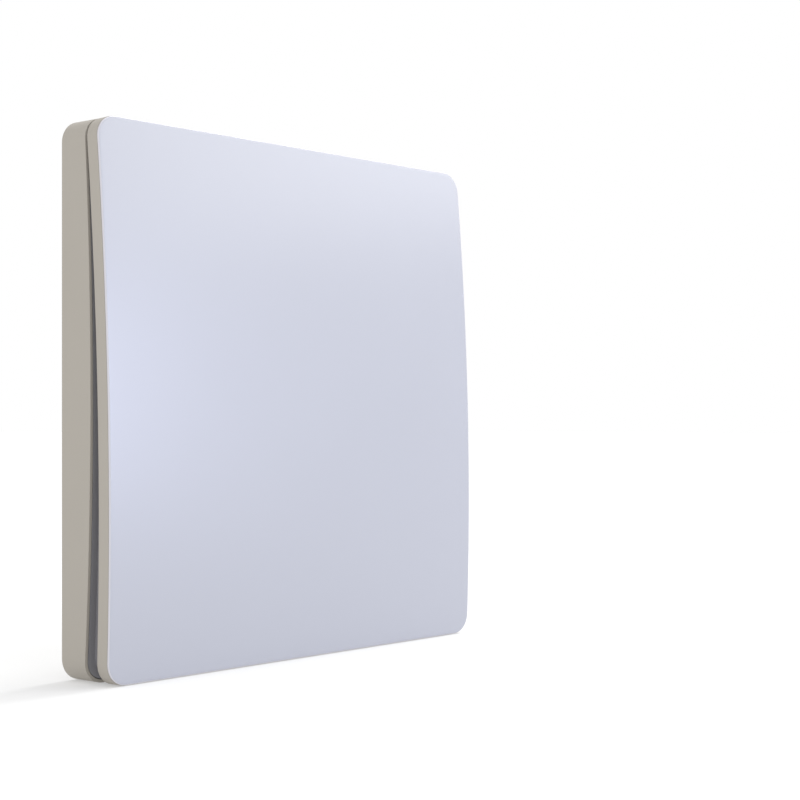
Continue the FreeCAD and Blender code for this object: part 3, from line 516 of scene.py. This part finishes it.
sheet = start_box("face_sheet", (PLATE, FACE_THICKNESS, PLATE), (0, FACE_THICKNESS / 2, 0))
pick(sheet, "EDGE", edge_runs_along(1))
bpy.ops.mesh.bevel(offset=CORNER, segments=12, affect="EDGES")
pick(sheet, "FACE", face_looks_along(1, -1))
bpy.ops.mesh.region_to_loop()
bpy.ops.mesh.bevel(offset=FACE_ROUNDING, segments=5, affect="EDGES")
pick(sheet, "FACE", face_looks_along(1, -1))
bpy.ops.mesh.inset(thickness=FACE_MARGIN)
for strip in range(1, STRIPS):
    height = PLATE * (strip / STRIPS - 0.5)
    bpy.ops.mesh.select_all(action="SELECT")
    bpy.ops.mesh.bisect(plane_co=(0, 0, height), plane_no=(0, 0, 1))
bpy.ops.object.mode_set(mode="OBJECT")
crown = sheet.modifiers.new("crown", "SIMPLE_DEFORM")
crown.deform_method = "BEND"
crown.deform_axis = "X"
crown.angle = PLATE / CROWN_RADIUS
bpy.ops.object.modifier_apply(modifier="crown")
rim_mark = sheet.data.attributes.new("rim", "FLOAT", "FACE")
for face in sheet.data.polygons:
    rim_mark.data[face.index].value = float(abs(face.normal.y) < RIM_DEPTH_SHARE)
move(sheet, (0, -FACE_FROM_PIVOT, 0))
move(sheet, PIVOT, (REST_TILT, 0, 0))
hand_over(sheet, "rocker", "face_white", "face_plate")
depths = [vertex.co.y / MM for vertex in sheet.data.vertices]
plate_depths = [corner.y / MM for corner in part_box("face_plate")]
print(f"sheet from {min(depths):.2f} to {max(depths):.2f} mm in depth,",
      f"CAD plate from {min(plate_depths):.2f} to {max(plate_depths):.2f} mm")

# %% [markdown]
# The coil is wound from thin enamelled wire. One turn is a flat ring with a rounded rim; an Array modifier
# stacks the turns along the bobbin, close enough to touch, as a winding machine lays them. Each ring loses
# its flat ends first, so that the turns join into one skin, and only the coil's two ends are closed again.

# %% Coil turns

TURNS = 44
COIL_CORNER = 1.2 * MM
RING_WALL = 0.5 * MM
WIRE_ROUNDING = 0.4  # of a turn's height

coil_low, coil_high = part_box("coil_winding")
coil_size = coil_high - coil_low
pitch = coil_size.z / TURNS
turn_centre = ((coil_low.x + coil_high.x) / 2, (coil_low.y + coil_high.y) / 2, coil_low.z + pitch / 2)
turns = start_box("coil_turns", (coil_size.x, coil_size.y, pitch), turn_centre)
pick(turns, "EDGE", edge_runs_along(2))
bpy.ops.mesh.bevel(offset=COIL_CORNER, segments=4, affect="EDGES")
pick(turns, "FACE", face_looks_along(2, 1, -1))
bpy.ops.mesh.inset(thickness=RING_WALL)
bpy.ops.mesh.bridge_edge_loops()
bpy.ops.object.mode_set(mode="OBJECT")
wire_round = turns.modifiers.new("wire_round", "BEVEL")
wire_round.width = WIRE_ROUNDING * pitch
wire_round.segments = 2
wire_round.limit_method = "ANGLE"
wire_round.angle_limit = math.radians(60)
bpy.ops.object.modifier_apply(modifier="wire_round")
pick(turns, "FACE", face_looks_along(2, 1, -1))
bpy.ops.mesh.delete(type="FACE")
bpy.ops.object.mode_set(mode="OBJECT")
repeat(turns, TURNS, (0, 0, pitch), joined=True)
for end in (coil_low.z, coil_high.z):
    pick(turns, "EDGE", edge_lies_at(2, end))
    bpy.ops.mesh.bridge_edge_loops()
hand_over(turns, "housing", "winding_copper", "coil_winding")

# %% [markdown]
# Three sets of screws hold the switch together. One screw is modelled per set: the head is a cylinder with a
# rounded rim, the shank is drawn out of its underside, and two tapered blades cut the cross for the driver.

# %% One cross-head screw

SHANK_RADIUS = 0.85 * MM
HEAD_SIDES = 40
HEAD_ROUNDING = 0.35  # of the head's height
CROSS_REACH = 1.25  # of the head's radius
BLADE_WIDTH = 0.5 * MM
BLADE_DEPTH = 1.4 * MM
LENGTH_TAPER = 0.7
WIDTH_TAPER = 0.8


def cut_cross(screw, top, way, reach):
    """Cuts the cross recess into the head with two blades that narrow towards the inside."""
    level_blade = ((reach, BLADE_DEPTH, BLADE_WIDTH), (LENGTH_TAPER, 1, WIDTH_TAPER))
    upright_blade = ((BLADE_WIDTH, BLADE_DEPTH, reach), (WIDTH_TAPER, 1, LENGTH_TAPER))
    for size, taper in (level_blade, upright_blade):
        blade = start_box("driver_blade", size, (0, top, 0))
        pick(blade, "FACE", face_looks_along(1, -way))
        bpy.ops.transform.resize(value=taper)
        bpy.ops.object.mode_set(mode="OBJECT")
        bpy.context.view_layer.objects.active = screw
        cut = screw.modifiers.new("cross", "BOOLEAN")
        cut.object = blade
        bpy.ops.object.modifier_apply(modifier="cross")
        bpy.data.objects.remove(blade)


def model_screw(name, top, tip, head_radius, head_height):
    """A screw along y, from the top of its head to its tip, in the middle of the frame."""
    way = 1 if top > tip else -1
    bpy.ops.object.select_all(action="DESELECT")
    middle = (0, top - way * head_height / 2, 0)
    along_y = (math.radians(90), 0, 0)
    bpy.ops.mesh.primitive_cylinder_add(vertices=HEAD_SIDES, radius=head_radius, depth=head_height,
                                        location=middle, rotation=along_y)
    screw = name_new_piece(name)
    pick(screw, "FACE", face_looks_along(1, way))
    bpy.ops.mesh.region_to_loop()
    bpy.ops.mesh.bevel(offset=HEAD_ROUNDING * head_height, segments=4, affect="EDGES")
    pick(screw, "FACE", face_looks_along(1, -way))
    bpy.ops.mesh.inset(thickness=head_radius - SHANK_RADIUS)
    bpy.ops.mesh.extrude_region_move(TRANSFORM_OT_translate={"value": (0, tip - top + way * head_height, 0)})
    bpy.ops.object.mode_set(mode="OBJECT")
    cut_cross(screw, top, way, CROSS_REACH * head_radius)
    return screw


print("a cross-head screw is described")

# %% [markdown]
# The other screws of a set are copies, moved to the places that the CAD set shows: four at the corners of the
# back, two on the generator's tabs and two on the board's posts.

# %% Screw sets

COVER_HEAD = 1.8 * MM
COVER_HEAD_HEIGHT = 0.9 * MM
INNER_HEAD = 1.6 * MM
INNER_HEAD_HEIGHT = 1.0 * MM


def screw_set(node, top, tip, head_radius, head_height, places):
    """Models one screw, copies it to each place and hands the set over in the node's stead."""
    screw = model_screw(node + "_cross", top, tip, head_radius, head_height)
    copy_to_places(screw, places)
    hand_over(screw, "housing", "screw_steel", node)


low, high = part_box("cover_screws")
screw_reach = high.x - COVER_HEAD
four_corners = [(x, z) for x in (-screw_reach, screw_reach) for z in (-screw_reach, screw_reach)]
screw_set("cover_screws", high.y, low.y, COVER_HEAD, COVER_HEAD_HEIGHT, four_corners)

low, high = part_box("generator_screws")
tabs = [(low.x + INNER_HEAD, high.z - INNER_HEAD), (high.x - INNER_HEAD, low.z + INNER_HEAD)]
screw_set("generator_screws", low.y, high.y, INNER_HEAD, INNER_HEAD_HEIGHT, tabs)

low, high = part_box("board_screws")
posts = [(low.x + INNER_HEAD, low.z + INNER_HEAD), (high.x - INNER_HEAD, low.z + INNER_HEAD)]
screw_set("board_screws", low.y, high.y, INNER_HEAD, INNER_HEAD_HEIGHT, posts)

# %% [markdown]
# The radio chip stands on two rows of thin leads. One lead is a small box whose end face is drawn out, down
# and out again into a gull wing; an Array modifier repeats it along the chip and a Mirror modifier gives the
# other side its row.

# %% Chip leads

LEADS = 6
LEAD_PITCH = 0.65 * MM
LEAD_WIDTH = 0.28 * MM
LEAD_THICKNESS = 0.14 * MM
LEAD_ROOT = 0.1 * MM
LEAD_SHOULDER = 0.20 * MM
LEAD_SLOPE = 0.18 * MM
LEAD_FOOT = 0.35 * MM

chip_low, chip_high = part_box("radio_chip")
chip_size = chip_high - chip_low
lead_drop = (chip_size.y - LEAD_THICKNESS) / 2
first_lead = (-LEAD_PITCH * (LEADS - 1) / 2, 0, chip_size.z / 2)
leads = start_box("chip_leads", (LEAD_WIDTH, LEAD_THICKNESS, LEAD_ROOT), first_lead)
pick(leads, "FACE", face_looks_along(2, 1))
for step in ((0, 0, LEAD_SHOULDER), (0, lead_drop, LEAD_SLOPE), (0, 0, LEAD_FOOT)):
    bpy.ops.mesh.extrude_region_move(TRANSFORM_OT_translate={"value": step})
bpy.ops.object.mode_set(mode="OBJECT")
repeat(leads, LEADS, (LEAD_PITCH, 0, 0))
other_side = leads.modifiers.new("other_side", "MIRROR")
other_side.use_axis = (False, False, True)
bpy.ops.object.modifier_apply(modifier="other_side")
move(leads, (chip_low + chip_high) / 2)
hand_over(leads, "housing", "tinned_wire")

# %% [markdown]
# Solder joins the coil's pins and the antenna's foot to the board. Melted solder creeps outwards at its foot,
# so each joint is a half ball that is cut flat on the board and spread at the rim.

# %% Solder joints

PIN_WIDTH = 0.6 * MM
PIN_END = 1.0 * MM
FOOT_MIDDLE = (0.45 * MM, 0.6 * MM)
JOINT_RADIUS = 0.6 * MM
JOINT_HEIGHT = 0.5 * MM
JOINT_LENGTH = 1.5  # in widths
JOINT_RIM = 0.02 * MM
RIM_SPREAD = (1.3, 1, 1.15)

board_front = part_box("circuit_board")[0].y
pins_low, pins_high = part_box("coil_terminals")
foot_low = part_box("antenna")[0]
joint_places = [
    (pins_low.x + PIN_WIDTH / 2, pins_high.z - PIN_END),
    (pins_high.x - PIN_WIDTH / 2, pins_high.z - PIN_END),
    (foot_low.x + FOOT_MIDDLE[0], foot_low.z + FOOT_MIDDLE[1]),
]
bpy.ops.object.select_all(action="DESELECT")
on_board = (0, board_front, 0)
bpy.ops.mesh.primitive_uv_sphere_add(segments=24, ring_count=12, radius=JOINT_RADIUS, location=on_board)
solder = name_new_piece("solder_joints", (1, JOINT_HEIGHT / JOINT_RADIUS, JOINT_LENGTH))
pick(solder, "FACE", lambda mesh, face: True)
rim_plane = (0, board_front - JOINT_RIM, 0)
bpy.ops.mesh.bisect(plane_co=rim_plane, plane_no=(0, 1, 0), clear_outer=True, use_fill=True, threshold=NEAR)
bpy.ops.mesh.extrude_region_move(TRANSFORM_OT_translate={"value": (0, JOINT_RIM, 0)})
bpy.ops.transform.resize(value=RIM_SPREAD)
bpy.ops.object.mode_set(mode="OBJECT")
copy_to_places(solder, joint_places)
hand_over(solder, "housing", "tinned_wire")

# %% [markdown]
# The switch stands on a plain pale floor in a white room. The floor glows faintly, so that no hard dark line
# is left where the plate touches it.

# %% Floor and room

WHITE = (1, 1, 1)
FLOOR_SIZE = 6
FLOOR_CLOUDS = 0.3
FLOOR_GLOW = 0.36

bpy.ops.object.select_all(action="DESELECT")
bpy.ops.mesh.primitive_plane_add(size=FLOOR_SIZE, location=(0, 0, cad_box[0].z))
floor = bpy.context.object
floor.name = "studio_floor"
shader, place = new_finish("floor_paint")
floor_colour = place.noise(FLOOR_CLOUDS).mix((0.49, 0.49, 0.49, 1), (0.51, 0.51, 0.51, 1))
floor_colour.plug(shader.inputs["Base Color"])
shader.inputs["Roughness"].default_value = 0.9
shader.inputs["Specular IOR Level"].default_value = 0.0
shader.inputs["Emission Color"].default_value = (*WHITE, 1)
shader.inputs["Emission Strength"].default_value = FLOOR_GLOW
dress(floor, finishes["floor_paint"])

world = bpy.data.worlds.new("studio")
world.use_nodes = True
background = world.node_tree.nodes["Background"]
background.inputs["Color"].default_value = (*WHITE, 1)
background.inputs["Strength"].default_value = 1.0
bpy.context.scene.world = world
bpy.context.scene.view_settings.view_transform = "Standard"
print("floor at", round(cad_box[0].z / MM, 2), "mm")

# %% [markdown]
# A panel high on the right makes the face brighter at the top, a tall narrow one at the front right lays a
# cool shine along its left edge, and one behind the camera lights the side. A far light high on the right, in
# line with the plate, keeps the floor white and leaves a soft streak of shadow at the plate's left foot.

# %% Lights


def light_panel(name, place, target, width, height, watts, colour=WHITE):
    """A soft rectangular lamp that looks at a target point."""
    bpy.ops.object.light_add(type="AREA", location=place)
    lamp = bpy.context.object
    lamp.name = name
    lamp.data.shape = "RECTANGLE"
    lamp.data.size = width
    lamp.data.size_y = height
    lamp.data.energy = watts
    lamp.data.color = colour
    towards = Vector(target) - Vector(place)
    lamp.rotation_euler = towards.to_track_quat("-Z", "Y").to_euler()


COOL_WHITE = (0.66, 0.72, 1.0)
UPPER_FACE = (0.02, -0.01, 0.03)
LEFT_EDGE = (-0.04, -0.01, 0.0)
light_panel("top_panel", (0.22, -0.19, 0.18), UPPER_FACE, width=0.20, height=0.18, watts=0.42)
light_panel("shine_panel", (0.35, -0.56, 0.03), LEFT_EDGE, width=0.06, height=0.22, watts=1.15,
            colour=COOL_WHITE)
light_panel("edge_panel", (-0.33, -0.32, 0.03), LEFT_EDGE, width=0.06, height=0.30, watts=0.30)

FROM_UPRIGHT = math.radians(35)
OUT_OF_PLATE = math.radians(1)
bpy.ops.object.light_add(type="SUN", rotation=(0, FROM_UPRIGHT, OUT_OF_PLATE))
side_light = bpy.context.object
side_light.name = "side_light"
side_light.data.energy = 1.5
side_light.data.angle = math.radians(20)

# %% [markdown]
# The camera stands where the photographer stood: at mid height, to the left of the front, near enough for a
# clear perspective. Its place and focal length come from a fit to the plate's corners. It looks level, and
# its picture is shifted a little, so that upright edges stay parallel.

# %% Camera

CAMERA_PLACE = (-203.5 * MM, -206.3 * MM, -2.2 * MM)
CAMERA_TURN = math.radians(-49.325)
PICTURE_SHIFT = math.radians(0.51)
LENS_LENGTH = 75.3
SENSOR_WIDTH = 36

bpy.ops.object.camera_add(location=CAMERA_PLACE)
camera = bpy.context.object
camera.data.lens = LENS_LENGTH
camera.data.sensor_width = SENSOR_WIDTH
camera.rotation_euler = (math.radians(90), 0, CAMERA_TURN)
camera.data.shift_y = math.tan(PICTURE_SHIFT) * LENS_LENGTH / SENSOR_WIDTH
camera.data.clip_start = 10 * MM
bpy.context.scene.camera = camera
print("camera with a lens of", LENS_LENGTH, "mm")

# %% [markdown]
# Dressing must not change the object's size; the CAD box was measured at the start, before any piece was
# dressed.

# %% The end

print("the scene is dressed")
